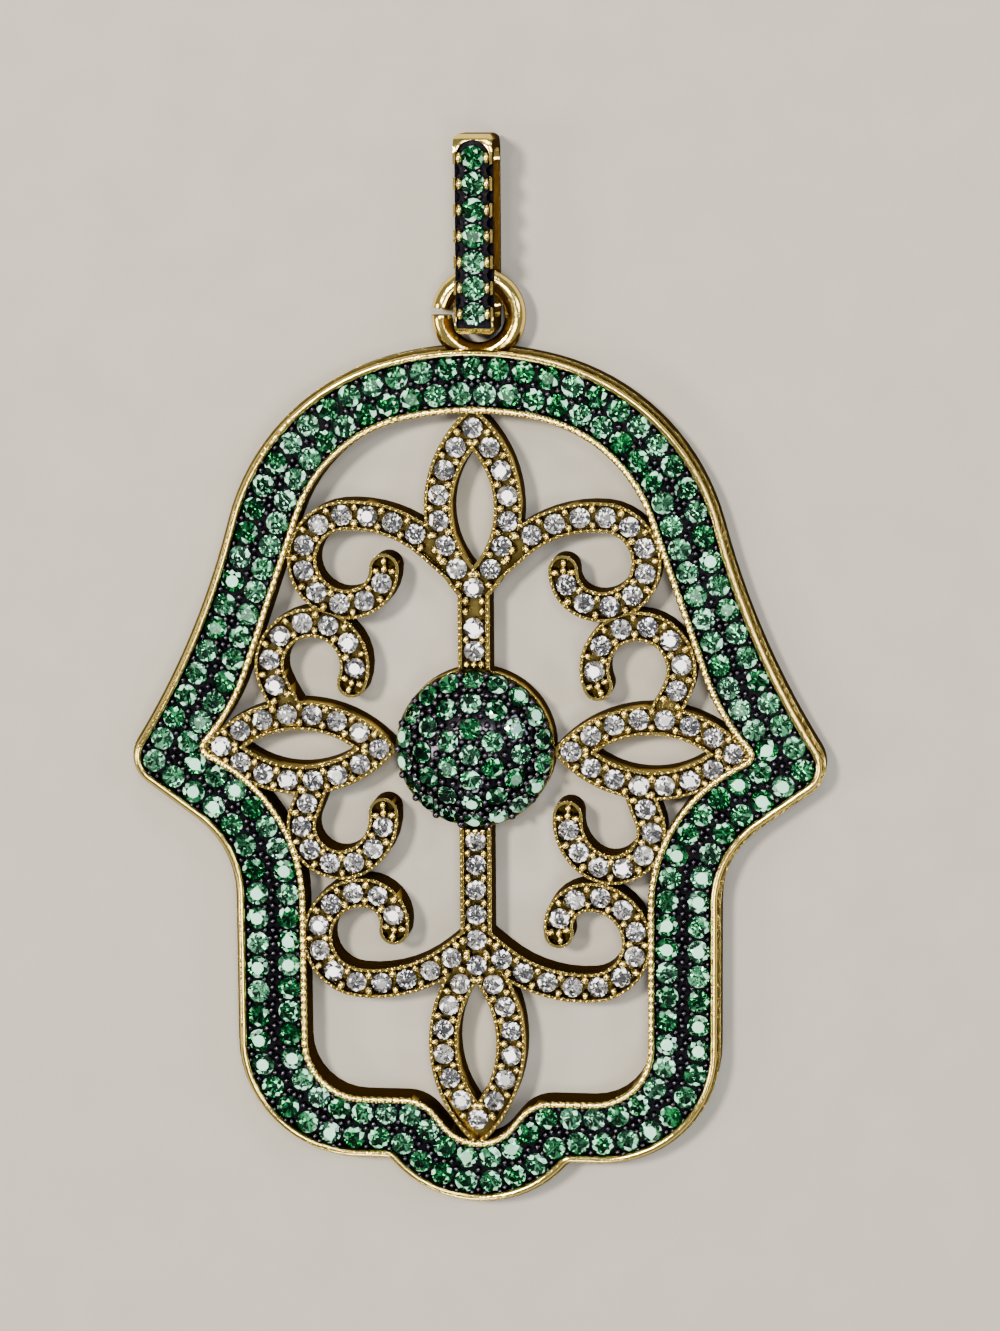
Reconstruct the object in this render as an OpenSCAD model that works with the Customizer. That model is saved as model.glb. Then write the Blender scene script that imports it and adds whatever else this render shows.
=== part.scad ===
// Hamsa pendant with green pave, a domed centre and an oblong bail, lying on its back.
// Front +Z, bail end +Y, origin under the middle of the dome on the plane it rests on.

/* [Frame outline] */
// Height of the stone channel's outer edge above the middle of the dome
arch_top = 24.55; // [24.4:0.05:24.8]
// Radius of the top of the arch
arch_r = 19.7; // [19.2:0.1:20.2]
// Turn of the top of the arch in degrees
arch_turn = 15; // [14:1:16]
// Radius of the shoulder below it
side_r = 13.9; // [13.8:0.05:14.1]
// Turn of that shoulder in degrees
side_turn = 60; // [59:1:61]
// Radius of the hollow flare that runs out to the thumb
flare_r = 52; // [51:0.5:54]
// Turn of the flare in degrees
flare_turn = 17; // [16.5:0.5:18]
// Radius of the thumb's tip
thumb_r = 1.5; // [1.3:0.05:1.7]
// Straight length of the thumb's underside
under_len = 3.95; // [3.8:0.05:4.1]
// Radius of the hollow waist under the thumb
waist_r = 6.5; // [6.4:0.1:6.8]
// Turn of the waist in degrees
waist_turn = 54; // [53:1:55]
// Straight length of the side below the waist
side_len = 9.4; // [9.3:0.05:9.5]
// Radius of the lower corner
corner_r = 7.05; // [6.9:0.05:7.2]
// Radius of the notch beside the bottom lobe
notch_r = 0.95; // [0.9:0.05:1.1]
// Radius of the bottom lobe
lobe_r = 6.9; // [6.7:0.1:7.2]
// Turn of each half of the lobe in degrees
lobe_turn = 49; // [48:1:50]

/* [Inner line] */
// Height of the inner row of stones above the middle of the dome
inner_top = 22.2; // [22.1:0.05:22.3]
// Radius of the flat top of the inner row
inner_top_r = 19.9; // [19.6:0.1:20.4]
// Radius of the inner row's shoulder
inner_arch_r = 10.5; // [10.4:0.05:10.6]
// Straight length of the inner row towards the thumb
inner_run = 10.4; // [10.2:0.1:10.6]
// Radius of the inner row's flare
inner_flare_r = 12; // [11.5:0.5:12.5]
// Radius of the inner row round the side leaf's tip
inner_tip_r = 1.6; // [1.5:0.05:1.7]
// Radius of the inner row's waist
inner_waist_r = 9.2; // [9:0.1:9.4]
// Straight length of the inner row's side
inner_len = 9.1; // [9:0.05:9.2]
// Radius of the inner row's lower corner
inner_corner_r = 4.7; // [4.6:0.05:4.8]

/* [Rims and channel] */
// Height of the rims above the back
rim_h = 2.4; // [2.3:0.05:2.8]
// Width of the rim beside the stones
rim_w = 0.36; // [0.32:0.02:0.44]
// Width of the ledge outside the rim
ledge_w = 0.24; // [0.15:0.01:0.3]
// Height of that ledge above the back
ledge_h = 1.75; // [1.5:0.05:1.9]
// Height of the black bed of the channel
bed_h = 2.0; // [1.9:0.02:2.04]

/* [Scrollwork] */
// Height of the scrolls and leaves
scroll_h = 2.3; // [2.15:0.05:2.4]
// Width of a scroll
scroll_w = 1.86; // [1.8:0.02:2]
// Width of the trough for the white stones
trough_w = 1.5; // [1.4:0.02:1.56]
// Height of the trough's floor
trough_h = 1.62; // [1.4:0.02:1.7]
// Width of the stem above and below the dome
stem_w = 2.0; // [1.9:0.05:2.2]

/* [Green stones] */
// Diameter of a stone in the frame and the dome
stone_d = 1.3; // [1.2:0.02:1.32]
// Distance between stones along the outer row
outer_pitch = 1.6; // [1.59:0.005:1.61]
// Distance between stones along the inner row
inner_pitch = 1.53; // [1.52:0.005:1.54]
// Distance of the outer row from the channel's edge
outer_inset = 0.78; // [0.76:0.01:0.8]
// Play between a stone and its seat
seat_play = 0.03; // [0.02:0.01:0.04]

/* [Dome] */
// Diameter of the black boss
dome_d = 9.5; // [9.4:0.05:9.6]
// Radius of its domed top
dome_r = 6.3; // [6.2:0.05:6.5]
// Height at which its side ends and the dome begins
dome_edge_h = 2.35; // [2.3:0.05:2.5]
// Wall of the gold cup that holds it
cup_wall = 0.2; // [0.15:0.05:0.25]
// Height of the cup's edge
cup_h = 2.0; // [1.95:0.05:2.1]
// Depth of that cup
cup_depth = 0.5; // [0.4:0.05:0.5]

/* [Bail and ring] */
// Outer diameter of the jump ring
ring_d = 5.9; // [5.8:0.05:6]
// Thickness of its wire
ring_wire = 1.3; // [1.25:0.05:1.35]
// Width of the cut in it
ring_cut = 0.4; // [0.25:0.05:0.5]
// Length of the bail
bail_len = 12.2; // [12.1:0.05:12.5]
// Width of the bail
bail_w = 2.4; // [2.3:0.05:2.42]
// Depth of the bail from front to back
bail_depth = 4.2; // [4:0.1:5]
// Thickness of its back band
bail_back = 0.5; // [0.4:0.05:0.6]
// Thickness of its front band
bail_front = 1.0; // [0.95:0.05:1.2]
// Thickness of its two ends
bail_end = 0.9; // [0.8:0.05:1]
// Radius of its four corners seen from the front
bail_plan_r = 0.4; // [0.3:0.05:0.45]
// Diameter of its stones
bail_stone_d = 1.45; // [1.35:0.05:1.45]

/* [Leaves] */
// Height of the top leaf's middle above the middle of the dome
top_leaf_up = 15.1; // [15:0.1:15.2]
// Length of the top leaf
top_leaf_len = 12.8; // [12.7:0.1:12.9]
// Length of its opening
top_hole_len = 7.2; // [7.1:0.1:7.3]
// Width of its opening
top_hole_w = 2.66; // [2.56:0.1:2.76]
// Width of the top leaf and of the bottom one
end_leaf_w = 6.14; // [6.08:0.06:6.2]
// Distance of each side leaf's middle from the middle line
side_leaf_out = 11.1; // [11.05:0.05:11.15]
// Distance of it below the middle of the dome
side_leaf_drop = 0.12; // [0.06:0.06:0.18]
// Length of a side leaf
side_leaf_len = 12.5; // [12.4:0.1:12.6]
// Width of a side leaf
side_leaf_w = 5.96; // [5.9:0.06:6.02]
// Length of its opening
side_hole_len = 7; // [6.9:0.1:7.1]
// Width of its opening
side_hole_w = 2.3; // [2.2:0.1:2.4]
// Distance of the bottom leaf's middle below the middle of the dome
bottom_leaf_down = 18.9; // [18.8:0.1:19]
// Length of the bottom leaf
bottom_leaf_len = 13.6; // [13.5:0.1:13.7]
// Length of its opening
bottom_hole_len = 7.7; // [7.6:0.1:7.8]
// Width of its opening
bottom_hole_w = 2.48; // [2.38:0.1:2.58]

/* [Scrolls] */
// Straight at the start of the upper big scroll
upper_big_run = 2.1; // [2.05:0.05:2.15]
// Radius of the arm of the upper big scroll
upper_big_arm_r = 7.4; // [7.3:0.1:7.5]
// Radius of the curl of the upper big scroll
upper_big_curl_r = 2.8; // [2.75:0.05:2.85]
// Radius of the end of the upper big scroll
upper_big_end_r = 2.18; // [2.13:0.05:2.23]
// Straight at the start of the upper small scroll
upper_small_run = 0.4; // [0.35:0.05:0.45]
// Radius of the arm of the upper small scroll
upper_small_arm_r = 13.6; // [13.5:0.1:13.7]
// Radius of the curl of the upper small scroll
upper_small_curl_r = 2.72; // [2.67:0.05:2.77]
// Radius of the end of the upper small scroll
upper_small_end_r = 2.73; // [2.68:0.05:2.78]
// Straight at the start of the lower small scroll
lower_small_run = 0.5; // [0.45:0.05:0.55]
// Radius of the arm of the lower small scroll
lower_small_arm_r = 9.6; // [9.5:0.1:9.7]
// Radius of the curl of the lower small scroll
lower_small_curl_r = 2.48; // [2.43:0.05:2.53]
// Radius of the end of the lower small scroll
lower_small_end_r = 3.28; // [3.23:0.05:3.33]
// Straight at the start of the lower big scroll
lower_big_run = 1.4; // [1.35:0.05:1.45]
// Radius of the arm of the lower big scroll
lower_big_arm_r = 8.4; // [8.3:0.1:8.5]
// Radius of the curl of the lower big scroll
lower_big_curl_r = 2.92; // [2.87:0.05:2.97]
// Radius of the end of the lower big scroll
lower_big_end_r = 1.97; // [1.92:0.05:2.02]

/* [Hidden] */
$fn = 96;
// How far a cut runs out above the metal
above = 1;
facets = 10;
// Longest chord and greatest turn of one side of a drawn arc
chord = 0.9;
chord_turn = 12;

// A path is a start point, a heading and a list of [radius, turn] arcs or [length, 0] straights
thumb_turn = 90 - arch_turn - side_turn + flare_turn + waist_turn;
edge_start = [0, arch_top];
edge_side = [[arch_r, -arch_turn], [side_r, -side_turn], [flare_r, flare_turn], [thumb_r, -thumb_turn],
    [under_len, 0], [waist_r, waist_turn], [side_len, 0], [corner_r, -90]];
edge_shoulder = path_end(edge_start, 0, edge_side)[0] - (notch_r + lobe_r) * sin(lobe_turn);
edge = [edge_start, 0, concat(edge_side, [[edge_shoulder, 0], [notch_r, lobe_turn], [lobe_r, -lobe_turn]])];

inner_top_turn = 13;
inner_arch_turn = 58;
inner_flare_turn = 23;
inner_waist_turn = 65;
inner_tip_turn = 90 - inner_top_turn - inner_arch_turn + inner_flare_turn + inner_waist_turn;
inner_start = [0, inner_top];
inner_side = [[inner_top_r, -inner_top_turn], [inner_arch_r, -inner_arch_turn], [inner_run, 0],
    [inner_flare_r, inner_flare_turn], [inner_tip_r, -inner_tip_turn], [inner_waist_r, inner_waist_turn],
    [inner_len, 0], [inner_corner_r, -90]];
inner_notch_r = 1.4;
inner_lobe_r = 3.8;
inner_lobe_turn = 51;
inner_slant = 1.0;
inner_shoulder = path_end(inner_start, 0, inner_side)[0]
    - (inner_notch_r + inner_lobe_r) * sin(inner_lobe_turn) - inner_slant * cos(inner_lobe_turn);
inner = [inner_start, 0, concat(inner_side, [[inner_shoulder, 0], [inner_notch_r, inner_lobe_turn],
    [inner_slant, 0], [inner_lobe_r, -inner_lobe_turn]])];
// Distances of the inner rim's two edges from the inner row of stones
inner_rim_near = -0.8;
inner_rim_far = inner_rim_near - rim_w;

// A leaf is [centre, direction, half length, half width, half length and half width of its opening]
top_leaf = [[0, top_leaf_up], 90, top_leaf_len / 2, end_leaf_w / 2, top_hole_len / 2, top_hole_w / 2];
side_leaf = [[side_leaf_out, -side_leaf_drop], 0, side_leaf_len / 2, side_leaf_w / 2,
    side_hole_len / 2, side_hole_w / 2];
bottom_leaf = [[0, -bottom_leaf_down], 90, bottom_leaf_len / 2, end_leaf_w / 2,
    bottom_hole_len / 2, bottom_hole_w / 2];

// Scrolls of the right half, each from inside its leaf to its curled end
upper_big = [on_leaf(top_leaf, -0.584, -0.368), 41.6,
    [[upper_big_run, 0], [upper_big_arm_r, -46.4], [upper_big_curl_r, -195], [upper_big_end_r, -72]]];
upper_small = [on_leaf(side_leaf, 0.0685, 0.664), 57.4,
    [[upper_small_run, 0], [upper_small_arm_r, 8.8], [upper_small_curl_r, 157], [upper_small_end_r, 70]]];
lower_small = [on_leaf(side_leaf, -0.1493, -0.638), -75.5,
    [[lower_small_run, 0], [lower_small_arm_r, 10], [lower_small_curl_r, -152], [lower_small_end_r, -58]]];
lower_big = [on_leaf(bottom_leaf, 0.954, -0.104), -39.3,
    [[lower_big_run, 0], [lower_big_arm_r, 44.6], [lower_big_curl_r, 178.7], [lower_big_end_r, 98]]];
scrolls = [upper_big, upper_small, lower_small, lower_big];
// Distance from a leaf's opening to the end of the stem's trough
stem_lap = 0.6;

// Point of a leaf by its shares of the half length and, to the left, of the half width
function on_leaf(l, a, b) = l[0] + a * l[2] * [cos(l[1]), sin(l[1])] + b * l[3] * [-sin(l[1]), cos(l[1])];
function step_end(p, h, s) = s[1] == 0 ? p + s[0] * [cos(h), sin(h)]
    : p + sign(s[1]) * s[0] * [sin(h + s[1]) - sin(h), cos(h) - cos(h + s[1])];
function path_end(p, h, segs, i = 0) = i == len(segs) ? p
    : path_end(step_end(p, h, segs[i]), h + segs[i][1], segs, i + 1);
function moved(p, h, off) = p + off * [-sin(h), cos(h)];
function widened(segs, off) = [for (s = segs) s[1] == 0 ? s : [s[0] - sign(s[1]) * off, s[1]]];
function step_len(s) = s[1] == 0 ? s[0] : s[0] * abs(s[1]) * PI / 180;
function steps(s) = s[1] == 0 ? 1 : max(3, ceil(step_len(s) / chord), ceil(abs(s[1]) / chord_turn));
function trace(p, h, segs, i = 0) = i == len(segs) ? []
    : let (s = segs[i], n = steps(s))
        concat([for (k = [1:n]) step_end(p, h, [s[0], s[1] * k / n])],
            trace(step_end(p, h, s), h + s[1], segs, i + 1));
// Points of a path moved sideways, to the left for a positive distance
function points(path, off = 0) = let (p = moved(path[0], path[1], off))
    concat([p], trace(p, path[1], widened(path[2], off)));
function closed(pts) = concat(pts, [for (i = [len(pts) - 2:-1:1]) [-pts[i][0], pts[i][1]]]);

function path_len(segs, i = 0) = i == len(segs) ? 0 : step_len(segs[i]) + path_len(segs, i + 1);
function along(p, h, segs, d, i = 0) = d <= 0 || i == len(segs) ? p
    : let (s = segs[i], l = step_len(s))
        d > l ? along(step_end(p, h, s), h + s[1], segs, d - l, i + 1)
        : step_end(p, h, s[1] == 0 ? [d, 0] : [s[0], s[1] * d / l]);
// Stones evenly along a moved path, the first and the last at a share of the pitch from its ends
function row(path, off, pitch, first, last) = let (
        p = moved(path[0], path[1], off),
        segs = widened(path[2], off),
        total = path_len(segs),
        n = round(total / pitch - first - last),
        even = total / (n + first + last))
    [for (k = [0:n]) along(p, path[1], segs, (k + first) * even)];

outer_row = row(edge, -outer_inset, outer_pitch, 0, 0.5);
inner_row = row(inner, 0, inner_pitch, 0.5, 0.5);
frame_stones = concat(outer_row, inner_row);

// Proportions of a cut stone to its diameter
table_part = 0.56;
crown_part = 0.15;
pavilion_part = 0.43;
// Rise of the stones' girdles over the bed, and room under their points
girdle_rise = 0.08;
seat_room = 0.06;
girdle_h = bed_h + girdle_rise;

// The dome: rings of stones by their angle from the top
cup_floor_h = cup_h - cup_depth;
cup_play = 0.05;
cup_d = dome_d + 2 * (cup_play + cup_wall);
// Width of the ring round the cup that the raised scrollwork leaves free for the dome's stones
dome_clear = 0.1;
dome_gap = 0.03;
dome_base_h = cup_floor_h + dome_gap;
dome_centre_h = dome_edge_h - sqrt(dome_r * dome_r - dome_d * dome_d / 4);
dome_rise = 0.06;
// Distance of the lowest ring's stones from the dome's edge, seen from the front
dome_inset = 0.3;
dome_rings_n = 3;
dome_step = asin((dome_d / 2 - dome_inset) / (dome_r + dome_rise)) / dome_rings_n;
dome_rings = [for (k = [0:dome_rings_n]) [k * dome_step, max(1, 6 * k)]];
dome_stones_at = [for (g = dome_rings) for (k = [0:g[1] - 1])
    let (a = 90 + 360 * k / g[1], r = dome_r + dome_rise)
        [[r * sin(g[0]) * cos(a), r * sin(g[0]) * sin(a), dome_centre_h + r * cos(g[0])], g[0], a]];

// The ring and the bail that hangs in it
ring_at = [0.35, 27, 1.4];
ring_r = (ring_d - ring_wire) / 2;
ring_cut_at = 175;
bail_x = 0.4;
bail_low = 25.95;
bail_corner = 1.1;
bail_inner_corner = 0.8;
// Depth of the bail's black bed, its walls, and the gold lip below it
bail_bed = 0.28;
bail_wall = 0.14;
bail_lip = 0.4;
// Distances of the last and the first stone from the ends
bail_tip = 1.45;
bail_foot = 1.28;
bail_stones_n = 7;
bail_first = bail_low + bail_foot;
bail_pitch = (bail_low + bail_len - bail_tip - bail_first) / (bail_stones_n - 1);
bail_girdle_h = bail_depth - bail_bed + girdle_rise;
bail_stones_at = [for (k = [0:bail_stones_n - 1])
    [[bail_x, bail_first + k * bail_pitch, bail_girdle_h], 0, 0]];
notch_d = 0.8;
notch_depth = 0.75;

// Turns a point by a stone's tilt and heading and sets it at the stone's place
function placed(s, v) = let (
        x = v[0] * cos(s[1]) + v[2] * sin(s[1]),
        z = v[2] * cos(s[1]) - v[0] * sin(s[1]))
    s[0] + [x * cos(s[2]) - v[1] * sin(s[2]), x * sin(s[2]) + v[1] * cos(s[2]), z];
function ring_points(s, r, h) = [for (k = [0:facets - 1]) let (a = 360 * k / facets)
    placed(s, [r * cos(a), r * sin(a), h])];
function stone_points(s, d) = concat(
    ring_points(s, d / 2 * table_part, d * crown_part),
    ring_points(s, d / 2, 0),
    [placed(s, [0, 0, -d * pavilion_part])]);
function stone_faces(o) = concat([[for (k = [facets - 1:-1:0]) o + k]],
    [for (k = [0:facets - 1]) let (m = (k + 1) % facets) [o + k, o + m, o + facets + m, o + facets + k]],
    [for (k = [0:facets - 1]) let (m = (k + 1) % facets) [o + facets + k, o + facets + m, o + 2 * facets]]);

module stones(list, d) {
    polyhedron([for (s = list) each stone_points(s, d)],
        [for (i = [0:len(list) - 1]) each stone_faces(i * (2 * facets + 1))]);
}

// Pocket for one stone, open towards its table
module seat(s, d) {
    translate(s[0])
        rotate([0, s[1], s[2]])
            translate([0, 0, -d * pavilion_part - seat_room])
                cylinder(h = d * pavilion_part + seat_room + above, d = d + 2 * seat_play, $fn = facets);
}

module mirrored() {
    children();
    mirror([1, 0, 0]) children();
}

// Band along a path, with a round end
module strip(path, w) {
    left = points([path[0], path[1], concat(path[2], [[0, -180]])], w / 2);
    right = points(path, -w / 2);
    polygon(concat(left, [for (i = [len(right) - 2:-1:0]) right[i]]));
}

// Pointed oval of two arcs
module oval(half_len, half_w) {
    r = (half_len * half_len + half_w * half_w) / (2 * half_w);
    intersection() {
        translate([0, half_w - r]) circle(r);
        translate([0, r - half_w]) circle(r);
    }
}

module leaf(l, inset = 0) {
    translate(l[0])
        rotate(l[1])
            difference() {
                oval(l[2] - 2 * inset, l[3] - inset);
                oval(l[4] + 2 * inset, l[5] + inset);
            }
}

module leaf_body(l) {
    translate(l[0]) rotate(l[1]) oval(l[2], l[3]);
}

module leaves(inset = 0) {
    leaf(top_leaf, inset);
    leaf(bottom_leaf, inset);
    mirrored() leaf(side_leaf, inset);
}

module stems(w) {
    upper = top_leaf[0][1] - top_leaf[4] - stem_lap;
    lower = bottom_leaf[0][1] + bottom_leaf[4] + stem_lap;
    translate([-w / 2, lower]) square([w, upper - lower]);
}

module scrollwork(w, stem, inset) {
    leaves(inset);
    stems(stem);
    mirrored() for (s = scrolls) strip(s, w);
}

module outline(off) {
    polygon(closed(points(edge, off)));
}

module inside(off) {
    polygon(closed(points(inner, off)));
}

module leaf_bodies() {
    leaf_body(top_leaf);
    leaf_body(bottom_leaf);
    mirrored() leaf_body(side_leaf);
}

module jump_ring() {
    cut_turn = ring_cut / ring_r * 180 / PI;
    translate(ring_at)
        rotate(ring_cut_at + cut_turn / 2)
            rotate_extrude(angle = 360 - cut_turn)
                translate([ring_r, 0]) circle(d = ring_wire, $fn = 48);
}

// One casting: channel band, rims, scrolls, leaves, stems, dome cup and the soldered ring
module frame() {
    color("goldenrod")
        difference() {
            union() {
                linear_extrude(ledge_h) difference() {
                    outline(rim_w + ledge_w);
                    inside(inner_rim_far);
                }
                linear_extrude(rim_h) difference() {
                    outline(rim_w);
                    inside(inner_rim_far);
                    leaf_bodies();
                }
                linear_extrude(scroll_h) scrollwork(scroll_w, stem_w, 0);
                cylinder(h = cup_h, d = cup_d);
                jump_ring();
            }
            translate([0, 0, bed_h]) linear_extrude(above) difference() {
                outline(0);
                inside(inner_rim_near);
                leaf_bodies();
            }
            translate([0, 0, trough_h]) linear_extrude(above)
                difference() {
                    scrollwork(trough_w, trough_w, (scroll_w - trough_w) / 2);
                    circle(d = cup_d);
                }
            translate([0, 0, cup_floor_h]) cylinder(h = cup_depth + above, d = dome_d + 2 * cup_play);
            translate([0, 0, cup_h]) cylinder(h = above, d = cup_d + 2 * dome_clear);
            mirrored() for (p = frame_stones) seat([[p[0], p[1], girdle_h], 0, 0], stone_d);
        }
}

// Black plated boss in the cup, its domed top drilled for the stones
module centre_dome() {
    color("black")
        difference() {
            rotate_extrude() intersection() {
                translate([0, dome_centre_h]) circle(r = dome_r);
                translate([0, dome_base_h]) square([dome_d / 2, dome_r]);
            }
            for (s = dome_stones_at) seat(s, stone_d);
        }
}

module rounded(low, high, r) {
    size = high - low;
    translate(low + [r, 0]) square([size[0] - 2 * r, size[1]]);
    translate(low + [0, r]) square([size[0], size[1] - 2 * r]);
    for (x = [low[0] + r, high[0] - r], y = [low[1] + r, high[1] - r]) translate([x, y]) circle(r);
}

// Oblong loop across the ring, its front face drilled for a row of stones
module bail() {
    high = bail_low + bail_len;
    bed_w = bail_w - 2 * bail_wall;
    hole_low = [bail_low + bail_end, bail_back];
    hole_high = [high - bail_end, bail_depth - bail_front];
    color("goldenrod")
        difference() {
            translate([bail_x, 0, 0]) intersection() {
                rotate([90, 0, 90])
                    linear_extrude(bail_w + 2 * above, center = true)
                        difference() {
                            rounded([bail_low, 0], [high, bail_depth], bail_corner);
                            rounded(hole_low, hole_high, bail_inner_corner);
                        }
                translate([0, 0, -above])
                    linear_extrude(bail_depth + 2 * above)
                        rounded([-bail_w / 2, bail_low], [bail_w / 2, high], bail_plan_r);
            }
            translate([bail_x, 0, bail_depth - bail_bed]) linear_extrude(above) {
                translate([-bed_w / 2, bail_low + bail_lip]) square([bed_w, bail_len - bail_tip - bail_lip]);
                translate([0, high - bail_tip]) circle(d = bed_w);
            }
            for (k = [0:bail_stones_n - 2], x = [bail_x - bail_w / 2, bail_x + bail_w / 2])
                translate([x, bail_first + (k + 0.5) * bail_pitch, bail_depth - notch_depth])
                    cylinder(h = above, d = notch_d);
            for (s = bail_stones_at) seat(s, bail_stone_d);
        }
}

module stones_right() {
    color("seagreen") stones([for (p = frame_stones) [[p[0], p[1], girdle_h], 0, 0]], stone_d);
}

// The left half leaves out the stones on the middle line
module stones_left() {
    color("seagreen")
        mirror([1, 0, 0])
            stones([for (p = frame_stones) if (p[0] > 0.1) [[p[0], p[1], girdle_h], 0, 0]], stone_d);
}

module dome_stones() {
    color("seagreen") stones(dome_stones_at, stone_d);
}

module bail_stones() {
    color("seagreen") stones(bail_stones_at, bail_stone_d);
}

frame();
centre_dome();
bail();
stones_left();
stones_right();
dome_stones();
bail_stones();
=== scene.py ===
"""Looks of the hamsa pendant: its finishes, cut stones, bead prongs and milled rims, and the studio.

Lengths in this script are millimetres, and are turned into metres where a mesh is made.
"""

from __future__ import annotations

import logging
import math
import random
from dataclasses import dataclass, field
from enum import Enum
from functools import partial
from typing import Any, Callable, Iterable, Sequence

import bpy
import numpy as np
from mathutils import Matrix, Vector

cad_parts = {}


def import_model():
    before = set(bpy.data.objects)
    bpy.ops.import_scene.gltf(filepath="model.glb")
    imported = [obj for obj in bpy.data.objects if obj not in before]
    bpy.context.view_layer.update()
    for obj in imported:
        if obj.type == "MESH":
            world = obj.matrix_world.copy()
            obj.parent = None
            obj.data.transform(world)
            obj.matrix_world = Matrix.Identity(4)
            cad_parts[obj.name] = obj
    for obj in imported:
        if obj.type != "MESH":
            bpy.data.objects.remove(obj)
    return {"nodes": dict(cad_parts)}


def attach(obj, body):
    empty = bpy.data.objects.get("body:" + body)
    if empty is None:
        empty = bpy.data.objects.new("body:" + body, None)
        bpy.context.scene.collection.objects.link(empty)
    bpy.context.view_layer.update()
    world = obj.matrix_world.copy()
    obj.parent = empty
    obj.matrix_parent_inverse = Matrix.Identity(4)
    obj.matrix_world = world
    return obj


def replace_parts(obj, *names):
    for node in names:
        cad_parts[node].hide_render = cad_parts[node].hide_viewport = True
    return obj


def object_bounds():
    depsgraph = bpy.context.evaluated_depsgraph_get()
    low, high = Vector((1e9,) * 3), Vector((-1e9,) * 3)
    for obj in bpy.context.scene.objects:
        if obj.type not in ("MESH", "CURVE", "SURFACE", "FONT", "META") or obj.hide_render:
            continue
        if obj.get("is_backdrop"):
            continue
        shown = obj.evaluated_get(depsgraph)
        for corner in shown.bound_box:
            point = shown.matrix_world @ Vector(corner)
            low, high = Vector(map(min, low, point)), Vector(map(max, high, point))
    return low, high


MM = 0.001
LOG = logging.getLogger("pendant")
FAR = 9.0  # Millimetres, more than any stone's distance to the next
NONE = -1  # The number of no strip and of no leaf
Point = tuple[float, float]
Colour = tuple[float, float, float, float]
Faces = list[tuple[int, ...]]
Located = tuple[np.ndarray, float]  # A point and the heading there
Inputs = dict[str | int, Any]  # Values or sockets of a node, by the input's name or number
SHARE, FIRST, SECOND, MIXED = 0, 6, 7, 2  # Numbers of the colour mix's sockets, whose names repeat


def linear(text: str) -> Colour:
    """Turns an sRGB hex colour into a linear one.

    Args:
        text: The colour as "#RRGGBB".

    Returns:
        Red, green, blue and an alpha of 1.
    """
    parts = [int(text[i : i + 2], 16) / 255 for i in (1, 3, 5)]
    r, g, b = (c / 12.92 if c <= 0.04045 else ((c + 0.055) / 1.055) ** 2.4 for c in parts)
    return (r, g, b, 1.0)


# ---- Lines of the design


@dataclass(frozen=True)
class Track:
    """A line of arcs and straights, as one walks it. A turn of 0 makes the radius a length."""

    start: Point
    heading: float
    steps: tuple[Point, ...]

    def length(self, off: float = 0.0) -> float:
        """Gives the line's length.

        Args:
            off: Distance to its left.

        Returns:
            The length of the line moved by that distance.
        """
        return sum(self._step_length(s, off) for s in self.steps)

    @staticmethod
    def _step_length(step: Point, off: float) -> float:
        """Gives the length of one arc or straight.

        Args:
            step: Its radius and turn, or its length and 0.
            off: Distance to the line's left.

        Returns:
            Its length when the line is moved by that distance.
        """
        size, turn = step
        if turn == 0:
            return size
        return abs(math.radians(turn)) * (size - math.copysign(1, turn) * off)

    def at(self, distance: float, off: float = 0.0) -> Located:
        """Finds a place on the line.

        Args:
            distance: How far along the moved line, from its start.
            off: Distance to its left.

        Returns:
            The point and the heading there in degrees.
        """
        place, heading, left = np.array(self.start), self.heading, distance
        for size, turn in self.steps:
            whole = self._step_length((size, turn), off)
            share = min(1.0, left / whole) if whole > 0 else 1.0
            if turn == 0:
                place = place + size * share * direction(heading)
            else:
                side = math.copysign(size, turn)
                centre = place + side * direction(heading + 90)
                heading += turn * share
                place = centre - side * direction(heading + 90)
            left -= whole
            if left <= 0:
                break
        return place + off * direction(heading + 90), heading

    def end(self) -> Point:
        """Gives the line's last point."""
        place, _ = self.at(self.length())
        return (float(place[0]), float(place[1]))

    def spaced(self, pitch: float, first: float, last: float, off: float = 0.0) -> list[Located]:
        """Spreads places evenly over the line.

        Args:
            pitch: The distance between them that is wished for.
            first: Distance of the first from the start, as a share of the pitch.
            last: Distance of the last from the end, as a share of the pitch.
            off: Distance to the line's left.

        Returns:
            Each place's point and heading.
        """
        whole = self.length(off)
        count = round(whole / pitch - first - last)
        even = whole / (count + first + last)
        return [self.at((k + first) * even, off) for k in range(count + 1)]


def direction(heading: float) -> np.ndarray:
    """Gives the unit vector of a heading in degrees."""
    return np.array([math.cos(math.radians(heading)), math.sin(math.radians(heading))])


def oval_track(centre: Point, axis: float, half_len: float, half_wide: float) -> Track:
    """Makes one side of a pointed oval, from its far tip round to its near one.

    Args:
        centre: Middle of the oval.
        axis: Direction of its long axis in degrees.
        half_len: Half its length.
        half_wide: Half its width.

    Returns:
        The side that lies to the right of the axis.
    """
    radius = (half_len**2 + half_wide**2) / (2 * half_wide)
    half_turn = math.degrees(math.asin(half_len / radius))
    tip = np.array(centre) + half_len * direction(axis)
    return Track((float(tip[0]), float(tip[1])), axis + 180 + half_turn, ((radius, -2 * half_turn),))


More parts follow.
